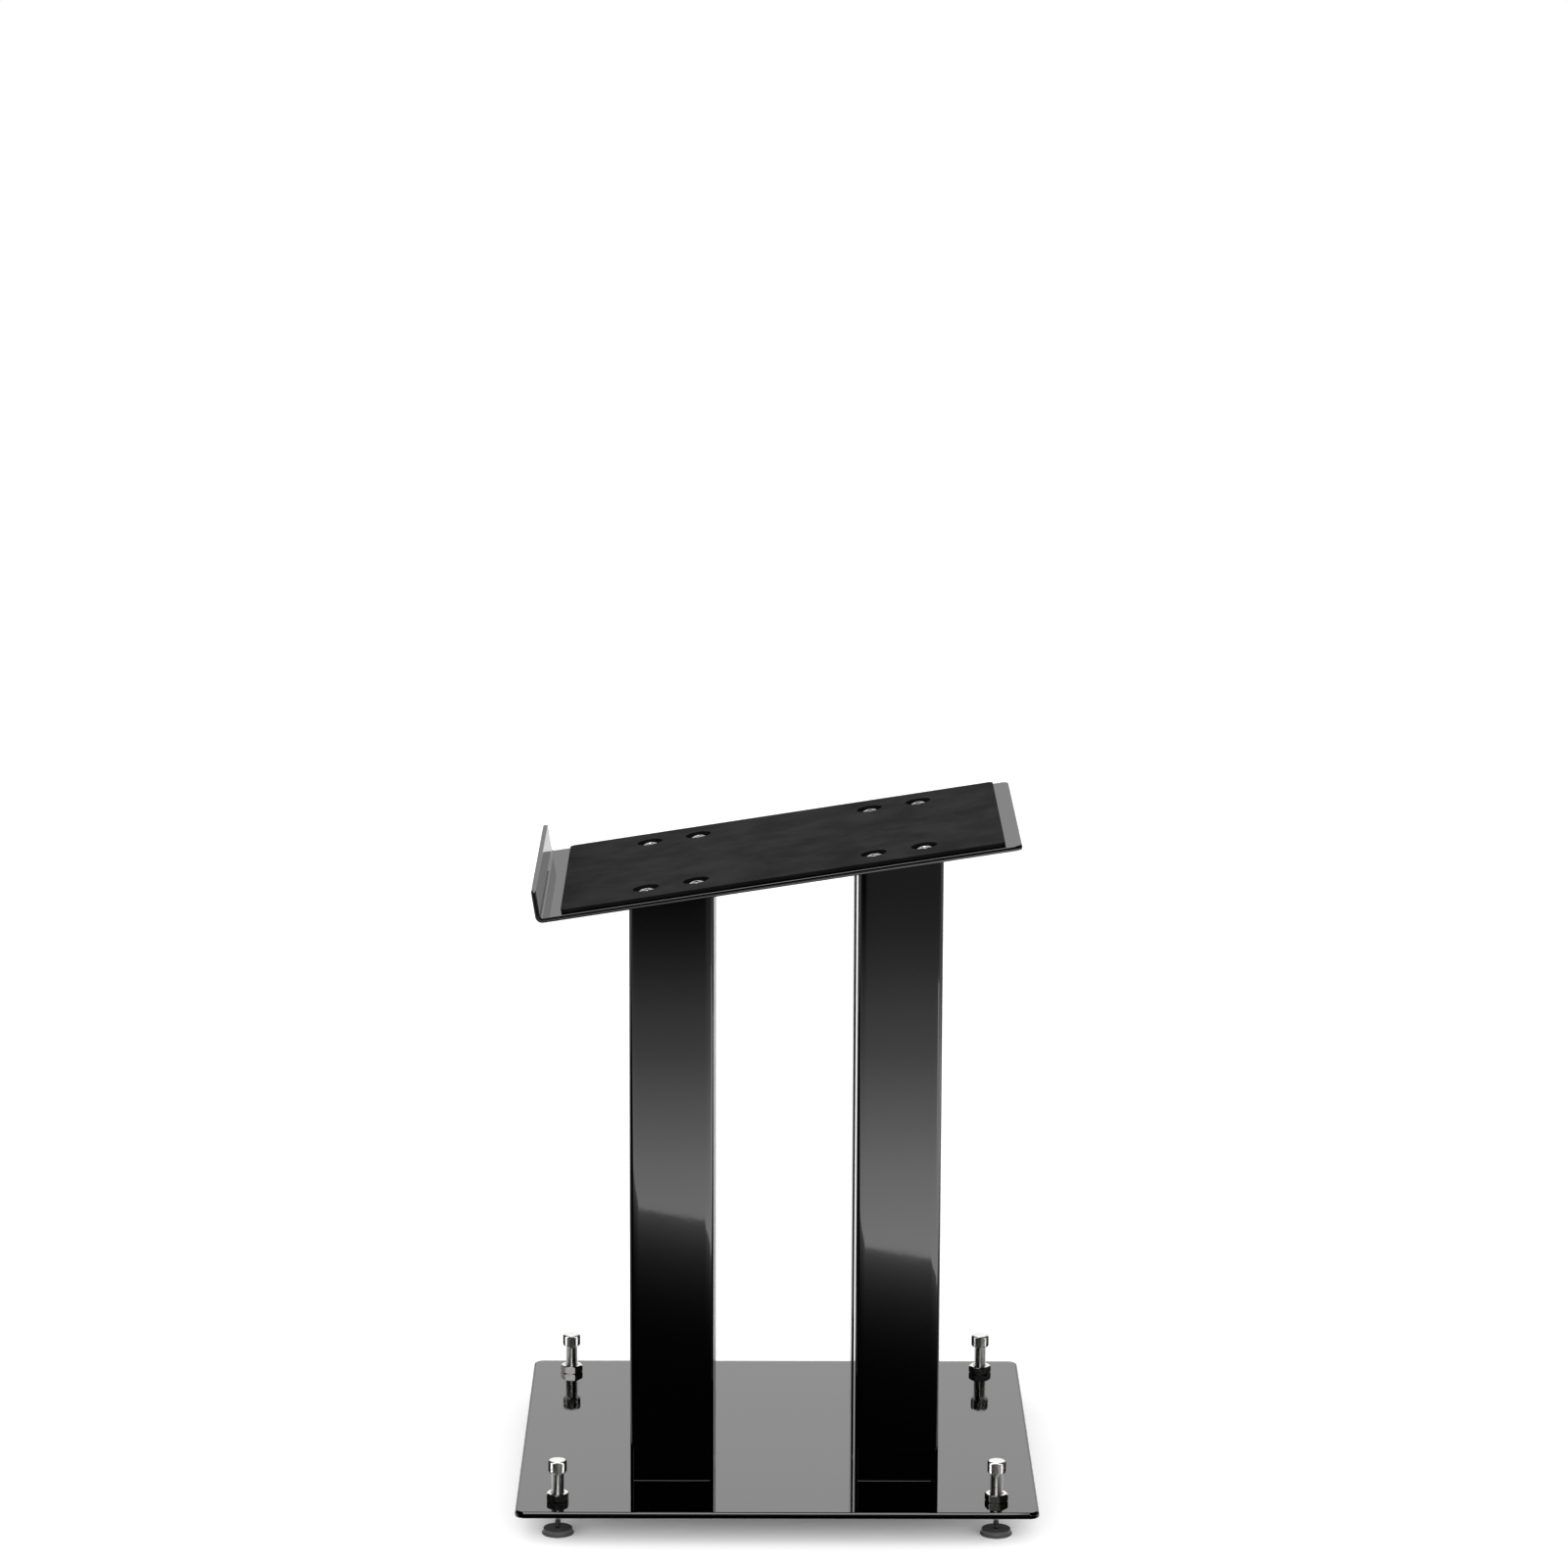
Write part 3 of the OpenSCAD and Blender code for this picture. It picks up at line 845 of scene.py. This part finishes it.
class STAND_OT_screws(Operator):
    """Builds the sixteen countersunk screws, two at each end of each tube"""

    bl_idname = "speaker_stand.screws"
    bl_label = "Screws"

    def execute(self, context):
        stand = context.scene.speaker_stand
        top, screw, base = stand.top_plate, stand.screw, stand.base_plate
        upwards = slope_matrix(top) @ Matrix.Translation((0, 0, top.thickness))
        downwards = Matrix.Translation((0, 0, base.underside))
        flip = Matrix.Rotation(pi, 4, "X")
        ends = {
            "top": (upwards, Matrix.Identity(4), screw.crown_height, screw_places(screw, top)),
            "base": (downwards, flip, 0.0, screw_places(screw)),
        }
        # Every screw stopped at its own angle
        first_turn, next_turn = radians(23), radians(71)
        for end, (face, turned_over, crown, places) in ends.items():
            meshes = {corner: bmesh.new() for corner in CORNERS}
            for number, (corner, x, y) in enumerate(places):
                turn = Matrix.Rotation(first_turn + next_turn * number, 4, "Z")
                place = Matrix.Translation((x, y, 0))
                screw_mesh(meshes[corner], screw, crown, face @ place @ turned_over @ turn)
            for corner, mesh in meshes.items():
                name, node = f"{end}_fixings_{corner}", f"{end}_screws_{corner}"
                data = to_mesh(mesh, name)
                smooth(data)
                add_piece(name, data, "stand", "zinc_screws", node)
        return {"FINISHED"}


def knurl_relief(column, row, samples):
    """Height of a diamond knurl, 0 to 1, at whole steps of a grid with samples per diamond."""
    phases = ((column + row) / samples, (column - row) / samples)
    return 1 - max(2 * abs((phase + 0.5) % 1 - 0.5) for phase in phases)


def knurl_rows(spike, bottom, tall, samples, angles):
    """The rings of a knurled cylinder, from its bottom up."""
    knob, flat_tip = spike.knob_diameter / 2, 0.8
    diamond = pi * spike.knob_diameter / spike.knurl_count
    steps = max(round(tall / diamond * samples), samples)
    rows = []
    for k in range(steps + 1):
        row = []
        for i, angle in enumerate(angles):
            groove = 1 - min(knurl_relief(i, k, samples), flat_tip) / flat_tip
            r = knob - spike.knurl_depth * groove
            row.append((r * cos(angle), r * sin(angle), bottom + tall * k / steps))
        rows.append(row)
    return rows


def split_knurl(mesh, rows):
    """Splits each knurled quad along the groove that crosses it."""
    splits = []
    for low, high in zip(rows, rows[1:]):
        for i in range(len(low)):
            j = (i + 1) % len(low)
            a, b, c, d = low[i], low[j], high[j], high[i]
            reach = [Vector(v.co[:2]).length for v in (a, b, c, d)]
            ends = (a, c) if reach[0] + reach[2] < reach[1] + reach[3] else (b, d)
            splits.append((mesh.faces.get((a, b, c, d)), ends))
    for face, ends in splits:
        bmesh.utils.face_split(face, *ends)


def spike_data(spike):
    """A knurled head, a threaded shank and a slender cone, turned in one piece."""
    samples, per_turn = 4, 10
    angles = even_angles(spike.knurl_count * samples)
    shank, knob = spike.thread_diameter / 2, spike.knob_diameter / 2
    cone, tip = spike.cone_diameter / 2, spike.tip_diameter / 2
    knob_bottom = spike.knob_top - spike.knob_height
    cone_top = spike.thread_bottom - (shank - cone)
    # The depth of a 60-degree thread, and its share that is cut where the shank has a neck
    depth, neck_relief = 0.6134 * spike.pitch, 0.8

    rows = [
        ring(tip * 0.7, spike.tip_bottom, angles),
        ring(tip, spike.tip_bottom + tip * 0.25, angles),
        ring(cone, cone_top, angles),
        ring(shank - depth * 0.9, spike.thread_bottom, angles),
    ]
    steps = int((knob_bottom - spike.thread_bottom) / spike.pitch * per_turn)
    for k in range(1, steps):
        height = spike.thread_bottom + k * spike.pitch / per_turn
        # The thread runs out over its first turn, and into a short neck below the head
        start = min(k / per_turn, 1.0)
        neck = min((steps - k) / per_turn, 1.0)

        def thread(angle, height=height, start=start, neck=neck):
            relief = 1 - (1 - thread_relief(height, angle, spike.pitch)) * start
            return shank - depth * (neck_relief + (relief - neck_relief) * neck)

        rows.append(ring(thread, height, angles))
    chamfer = spike.knob_chamfer
    rows += [ring(shank * 0.98, knob_bottom, angles), ring(knob - chamfer, knob_bottom, angles)]
    tall = spike.knob_height - 2 * chamfer
    knurled = knurl_rows(spike, knob_bottom + chamfer, tall, samples, angles)
    top_rows = [
        ring(knob - chamfer, spike.knob_top - 0.1 * MM, angles),
        ring(knob - chamfer - 0.15 * MM, spike.knob_top, angles),
        ring(knob * 0.35, spike.knob_top, angles),
    ]
    mesh = bmesh.new()
    made = loft(mesh, rows + knurled + top_rows)
    split_knurl(mesh, made[len(rows) : len(rows) + len(knurled)])
    data = to_mesh(mesh, "knurled_spike")
    smooth(data, keep_round=(spike.thread_bottom - MM, knob_bottom - 0.1 * MM))
    return data


class STAND_OT_spikes(Operator):
    """Builds the four levelling spikes with threads and knurled heads"""

    bl_idname = "speaker_stand.spikes"
    bl_label = "Levelling spikes"

    def execute(self, context):
        stand = context.scene.speaker_stand
        names = ("knurled_spike", "levelling_spike", "bright_nickel", "spike")
        add_at_spikes(spike_data(stand.spike), *names, weighted=False)
        return {"FINISHED"}


def nut_data(nut):
    """A hexagon nut, chamfered at both faces and countersunk at both ends of its bore."""
    # The angles lie close together at the six corners
    offsets = (-24, -18, -13, -8, -4, -1.39, -0.7, 0, 0.7, 1.39, 4, 8, 13, 18, 24, 30)
    angles = [radians(60 * k + offset) for k in range(6) for offset in offsets]
    side = hexagon_radius(nut.width, nut.corner_radius)
    face = nut.width / 2 / cos(radians(30)) - nut.chamfer / tan(radians(30))
    bore = nut.bore_diameter / 2
    mouth = bore + nut.countersink
    burr, bevel, rim = 0.03 * MM, 0.05 * MM, 0.1 * MM

    def lower(angle):
        return max(side(angle) - face, 0) * tan(radians(30)) + bevel

    def upper(angle):
        return nut.height - lower(angle)

    rows = [
        ring(bore, nut.countersink, angles),
        ring(mouth, 0.0, angles),
        ring(face - rim, 0.0, angles),
        ring(face, burr, angles),
        ring(side, lower, angles),
        ring(side, upper, angles),
        ring(face, nut.height - burr, angles),
        ring(face - rim, nut.height, angles),
        ring(mouth, nut.height, angles),
        ring(bore, nut.height - nut.countersink, angles),
    ]
    mesh = bmesh.new()
    loft(mesh, rows, closed=True)
    data = to_mesh(mesh, "hexagon_nut")
    smooth(data)
    return data


class STAND_OT_locknuts(Operator):
    """Builds the four thin hexagon locknuts"""

    bl_idname = "speaker_stand.locknuts"
    bl_label = "Locknuts"

    def execute(self, context):
        stand = context.scene.speaker_stand
        names = ("hexagon_nut", "nut", "bright_nickel", "locknut")
        height = node_low("locknut_front_left")
        add_at_spikes(nut_data(stand.nut), *names, height, stand.nut.turns)
        return {"FINISHED"}


def disc_data(disc, spike):
    """A floor disc with a thin upper rim, a flared foot and a seat for the spike's tip."""
    foot, top = disc.diameter / 2, disc.top_diameter / 2
    ease, thick = disc.edge_radius, disc.thickness
    seat = thick - disc.seat_depth
    waist = top - disc.waist_depth
    waist_top = thick - disc.lip_thickness
    # Below the upper rim the side falls back, then flares out to the foot in a cove
    angles = [radians(90 * k / 7) for k in range(7, -1, -1)]
    cove = [
        (
            waist + (foot - waist) * (1 - cos(angle)),
            waist_top + (disc.rim_height - waist_top) * sin(angle),
        )
        for angle in angles
    ]
    profile = [
        (foot - ease - 1.5 * MM, 0.0),
        (foot - ease, 0.0),
        (foot - 0.3 * ease, 0.3 * ease),
        (foot, ease),
        *cove,
        (top, waist_top),
        (top, thick - ease),
        (top - 0.3 * ease, thick - 0.3 * ease),
        (top - ease, thick),
        (disc.seat_diameter / 2, thick),
        (spike.tip_diameter / 2 + disc.tip_clearance, seat),
        (0.2 * MM, seat),
    ]
    mesh = bmesh.new()
    turned(mesh, profile, DISC_STEPS)
    data = to_mesh(mesh, "turned_disc")
    smooth(data)
    return data


class STAND_OT_floor_discs(Operator):
    """Builds the four floor discs under the spikes"""

    bl_idname = "speaker_stand.floor_discs"
    bl_label = "Floor discs"

    def execute(self, context):
        stand = context.scene.speaker_stand
        names = ("turned_disc", "floor_disc", "grey_discs", "disc")
        add_at_spikes(disc_data(stand.disc, stand.spike), *names)
        return {"FINISHED"}


# Stage


def add_camera(scene):
    """The photograph's camera: far away, slightly above, and turned a fraction of a degree."""
    place = (-0.0142, -3.2419, 1.1222)
    pitch, yaw, roll = radians(11.82), radians(0.31), radians(0.209)
    forward = Vector((sin(yaw) * cos(pitch), cos(yaw) * cos(pitch), -sin(pitch)))
    level = forward.cross(Vector((0, 0, 1))).normalized()
    above = level.cross(forward)
    right = level * cos(roll) + above * sin(roll)
    up = above * cos(roll) - level * sin(roll)
    lens = bpy.data.cameras.new("camera")
    lens.lens = 122.6
    lens.sensor_width = 36
    lens.clip_end = 100
    camera = bpy.data.objects.new("camera", lens)
    turned_to = Matrix((right, up, -forward)).transposed().to_4x4()
    camera.matrix_world = Matrix.Translation(place) @ turned_to
    scene.collection.objects.link(camera)
    scene.camera = camera


def light_profile(tree, source, stops):
    """The brightness at a place, from pairs of place and level, with straight lines between."""
    low, high = stops[0][0], stops[-1][0]
    peak = max(level for _, level in stops)
    along = add_node(tree, "MapRange", {"Value": source, "From Min": low, "From Max": high})
    ramp = add_node(tree, "ValToRGB", {"Fac": along.outputs["Result"]})
    elements = ramp.color_ramp.elements
    while len(elements) > 1:
        elements.remove(elements[-1])
    for number, (where, level) in enumerate(stops):
        position = (where - low) / (high - low)
        element = elements[0] if number == 0 else elements.new(position)
        element.position = position
        element.color = rgba([level / peak] * 3)
    factors = {0: ramp.outputs["Color"], 1: peak}
    return add_node(tree, "Math", factors, operation="MULTIPLY").outputs[0]


def add_world(scene):
    """White for the camera. Gloss sees a bright backdrop behind the stand and a dark studio
    in front, and matt surfaces are lit by wide, low softboxes, mostly from the front."""
    world = bpy.data.worlds.new("studio")
    world.use_nodes = True
    scene.world = world
    tree = world.node_tree
    tree.nodes.clear()
    path = add_node(tree, "LightPath").outputs
    direction = add_node(tree, "TexCoord").outputs["Generated"]
    axes = add_node(tree, "SeparateXYZ", {"Vector": direction}).outputs
    # Both profiles go by the sine of the height above level
    backdrop = [
        (0.0, 1.0), (0.16, 0.62), (0.22, 0.75), (0.3, 1.4), (0.36, 1.5), (0.41, 1.0), (0.5, 0.02),
        (1.0, 0.01),
    ]
    softboxes = [(0.0, 5.2), (0.3, 4.2), (0.42, 2.6), (0.6, 1.2), (0.8, 0.6), (1.0, 0.4)]
    behind = {"From Min": 0.55, "From Max": 0.8, "To Min": 0.01, "To Max": 1.0}
    in_front = {"From Min": -0.5, "From Max": 0.2, "To Min": 0.9, "To Max": 0.45}
    levels = []
    for stops, side in ((backdrop, behind), (softboxes, in_front)):
        bounds = {"Value": axes["Y"], **side}
        share = add_node(tree, "MapRange", bounds, interpolation_type="SMOOTHSTEP")
        factors = {0: light_profile(tree, axes["Z"], stops), 1: share.outputs["Result"]}
        levels.append(add_node(tree, "Math", factors, operation="MULTIPLY").outputs[0])
    mirrored, matt = levels
    rays = {0: path["Is Camera Ray"], 1: path["Is Transmission Ray"]}
    seen = add_node(tree, "Math", rays, operation="MAXIMUM").outputs[0]
    lights = {0: path["Is Glossy Ray"], 2: matt, 3: mirrored}
    lit = add_node(tree, "Mix", lights, data_type="FLOAT").outputs[0]
    strength = add_node(tree, "Mix", {0: seen, 2: lit, 3: 1.0}, data_type="FLOAT").outputs[0]
    background = add_node(tree, "Background", {"Color": (1, 1, 1, 1), "Strength": strength})
    add_node(tree, "OutputWorld", {"Surface": background.outputs[0]})


def paper_floor(tree, colours):
    """Matt white paper that keeps the object's shadow and is plain white where it is lit, with a
    painted shadow near the stand from its dimmed glow.
    """
    path = add_node(tree, "LightPath").outputs
    dimmed = {0: path["Is Glossy Ray"], 1: 0.3}
    glossy = add_node(tree, "Math", dimmed, operation="MULTIPLY").outputs[0]
    rays = {0: path["Is Camera Ray"], 1: glossy}
    seen = add_node(tree, "Math", rays, operation="MAXIMUM").outputs[0]
    # Painted shadow: the glow that makes the open floor white is dimmed by ambient occlusion, so
    # the floor darkens under and round the base
    painted_shadow_ao = add_node(tree, "AmbientOcclusion", {"Distance": 0.2}, samples=12)
    stops = [(0.0, 0.02), (0.04, 0.07), (0.1, 0.15), (0.25, 0.2), (0.5, 0.37), (1.0, 0.42)]
    factors = {0: seen, 1: light_profile(tree, painted_shadow_ao.outputs["AO"], stops)}
    lift = add_node(tree, "Math", factors, operation="MULTIPLY").outputs[0]
    paper = add_node(tree, "BsdfDiffuse", {"Color": rgba(colours.floor)}).outputs[0]
    glow = add_node(tree, "Emission", {"Color": (1, 1, 1, 1), "Strength": lift}).outputs[0]
    return add_node(tree, "AddShader", {0: paper, 1: glow})


def card_light(tree, stops, right_lift=0.0):
    """A glow with its brightness along the card's own y. Across the object's width it may get
    brighter to the right."""
    place = add_node(tree, "TexCoord").outputs["Object"]
    axes = add_node(tree, "SeparateXYZ", {"Vector": place}).outputs
    level = light_profile(tree, axes["Y"], stops)
    if right_lift:
        width = {"From Min": -0.075, "From Max": 0.105, "To Max": right_lift}
        lift = add_node(tree, "MapRange", {"Value": axes["X"], **width})
        terms = {0: level, 1: lift.outputs["Result"]}
        level = add_node(tree, "Math", terms, operation="ADD").outputs[0]
    return add_node(tree, "Emission", {"Color": (1, 1, 1, 1), "Strength": level})


def stage_card(name, corners, material, matrix):
    """A flat piece of the stage from its corners in its own plane, its face towards its +z."""
    mesh = bmesh.new()
    mesh.faces.new([mesh.verts.new((x, y, 0)) for x, y in corners])
    data = bpy.data.meshes.new(name)
    mesh.to_mesh(data)
    mesh.free()
    data.materials.append(material)
    card = bpy.data.objects.new(name, data)
    card.matrix_world = matrix
    bpy.context.scene.collection.objects.link(card)
    return card


def mirrored_card(name, corners, material, matrix):
    """A stage card that shows in gloss alone, so that it neither lights nor shades the object."""
    card = stage_card(name, corners, material, matrix)
    for rays in ("camera", "diffuse", "shadow", "transmission", "volume_scatter"):
        setattr(card, f"visible_{rays}", False)


def rectangle(width, depth):
    """The corners of a rectangle about the origin."""
    x, y = width / 2, depth / 2
    return [(-x, -y), (x, -y), (x, y), (-x, y)]


def add_front_cards():
    """What the columns' front faces mirror: a dark table, and past its slanted edge a lit floor
    that fades towards the camera. The table lies in front of the stand and at both its sides."""
    # Places along Y in metres, and the floor's level there
    lit_floor = [
        (-2.4, 0.0), (-1.8, 0.04), (-1.65, 0.14), (-1.5, 0.36), (-1.2, 1.08), (-1.0, 2.12),
        (-0.85, 3.05), (-0.64, 4.0),
    ]
    # The table's light fades from its edge to a third in about 70 mm
    edge_level, fade, table_step = 1.25, 63 * MM, 30 * MM
    dim_table = [(k * table_step, edge_level * exp(-k * table_step / fade)) for k in range(13)]
    # The edge passes through this point
    slant, edge_x, edge_y = radians(30.4), 7.1 * MM, -693.5 * MM
    reach, far, stand_front = 1.2, -2.4, -0.155

    corner_x = edge_x + (stand_front - edge_y) / tan(slant)
    edge_left = (-reach, edge_y - (reach + edge_x) * tan(slant))
    edge_right = (corner_x, stand_front)
    above_floor = Matrix.Translation((0, 0, 1 * MM))
    far_corners = [(-reach, far), (reach, far), (reach, stand_front), edge_right, edge_left]
    floor_light = shared_material("lit_floor_card", card_light, lit_floor, 0.25)
    mirrored_card("far_floor_card", far_corners, floor_light, above_floor)
    edge = Matrix.Translation((edge_x, edge_y, 0)) @ Matrix.Rotation(slant, 4, "Z")
    near_corners = [
        (edge.inverted() @ Vector((*corner, 0)))[:2]
        for corner in (edge_left, edge_right, (-reach, stand_front))
    ]
    table_light = shared_material("dim_table_card", card_light, dim_table)
    mirrored_card("near_table_card", near_corners, table_light, above_floor @ edge)


def add_small_cards():
    """The bright line down the columns' corners, the small light that the rear left nut mirrors,
    and the strip light overhead that threads, knurls and the plates' front edges mirror."""
    # Angle from straight ahead, distance, lower edge, width, height, level
    upright = {
        "corner_card": (21, 0.72, 0.0, 0.09, 0.19, 4.0),
        "spot_card": (-22.9, 3.26, 0.92, 0.28, 0.36, 3.6),
    }
    for name, (angle, away, low, width, height, level) in upright.items():
        turn = radians(angle)
        place = Vector((sin(turn) * away, -cos(turn) * away, low + height / 2))
        facing = Matrix.Rotation(turn, 4, "Z") @ Matrix.Rotation(radians(-90), 4, "X")
        light = shared_material(name + "_light", card_light, [(-1, level), (1, level)])
        mirrored_card(name, rectangle(width, height), light, Matrix.Translation(place) @ facing)

    # The strip runs from the camera to the back. Its ends' angles are from the level front
    low, high, away, left, width = radians(38), radians(106), 2.0, -0.17, 0.85
    facing = Matrix.Rotation(pi / 2 - (low + high) / 2, 4, "X")
    deep = 2 * away * tan((high - low) / 2)
    light = shared_material("strip_light_card", card_light, [(-2, 6.0), (2, 6.0)])
    overhead = facing @ Matrix.Translation((left, 0, away))
    mirrored_card("strip_card", rectangle(width, deep), light, overhead)


def add_lamp(scene):
    """A soft lamp above and behind, for the pad's tone and the shadow in front."""
    lamp = bpy.data.lights.new("top_softbox", "AREA")
    lamp.shape = "RECTANGLE"
    lamp.size, lamp.size_y = 1.6, 1.2
    lamp.energy = 2.5
    softbox = bpy.data.objects.new("top_softbox", lamp)
    place, aim = Vector((-0.3, 1.0, 1.9)), Vector((0, 0, 0.2))
    softbox.location = place
    softbox.rotation_euler = (aim - place).to_track_quat("-Z", "Y").to_euler()
    softbox.visible_glossy = False
    scene.collection.objects.link(softbox)


class STAND_OT_stage(Operator):
    """Sets up the white studio, its lamp and cards, and the photograph's camera"""

    bl_idname = "speaker_stand.stage"
    bl_label = "Studio"

    def execute(self, context):
        scene = context.scene
        scene.view_settings.view_transform = "Standard"
        add_camera(scene)
        add_world(scene)
        colours = scene.speaker_stand.colours
        floor = shared_material("white_paper_floor", paper_floor, colours)
        side = 16
        stage_card("studio_floor", rectangle(side, side), floor, Matrix.Identity(4))
        add_front_cards()
        add_small_cards()
        add_lamp(scene)
        return {"FINISHED"}


OPERATORS = (
    STAND_OT_base_plate,
    STAND_OT_columns,
    STAND_OT_end_plates,
    STAND_OT_top_plate,
    STAND_OT_top_pad,
    STAND_OT_screws,
    STAND_OT_spikes,
    STAND_OT_locknuts,
    STAND_OT_floor_discs,
    STAND_OT_stage,
)


class STAND_PT_panel(Panel):
    """Lists the stand's sizes, its pieces and the studio"""

    bl_idname = "STAND_PT_panel"
    bl_label = "Speaker stand"
    bl_space_type = "VIEW_3D"
    bl_region_type = "UI"
    bl_category = "Stand"

    def draw(self, context):
        settings = context.scene.speaker_stand
        for group_name in StandSettings.__annotations__:
            group = getattr(settings, group_name)
            box = self.layout.box()
            box.label(text=group_name.replace("_", " ").capitalize())
            for name in type(group).__annotations__:
                box.prop(group, name)
        for operator in OPERATORS:
            self.layout.operator(operator.bl_idname)


CLASSES = (
    BasePlateSizes,
    ColumnSizes,
    TopPlateSizes,
    PadSizes,
    ScrewSizes,
    SpikeSizes,
    NutSizes,
    DiscSizes,
    FinishColours,
    StandSettings,
    *OPERATORS,
    STAND_PT_panel,
)


def register():
    for item in CLASSES:
        bpy.utils.register_class(item)
    bpy.types.Scene.speaker_stand = PointerProperty(type=StandSettings)


def unregister():
    del bpy.types.Scene.speaker_stand
    for item in reversed(CLASSES):
        bpy.utils.unregister_class(item)


def main():
    """Registers the classes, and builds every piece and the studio."""
    register()
    for operator in OPERATORS:
        group, name = operator.bl_idname.split(".")
        getattr(getattr(bpy.ops, group), name)()
    bpy.context.view_layer.update()


if __name__ == "__main__":
    main()
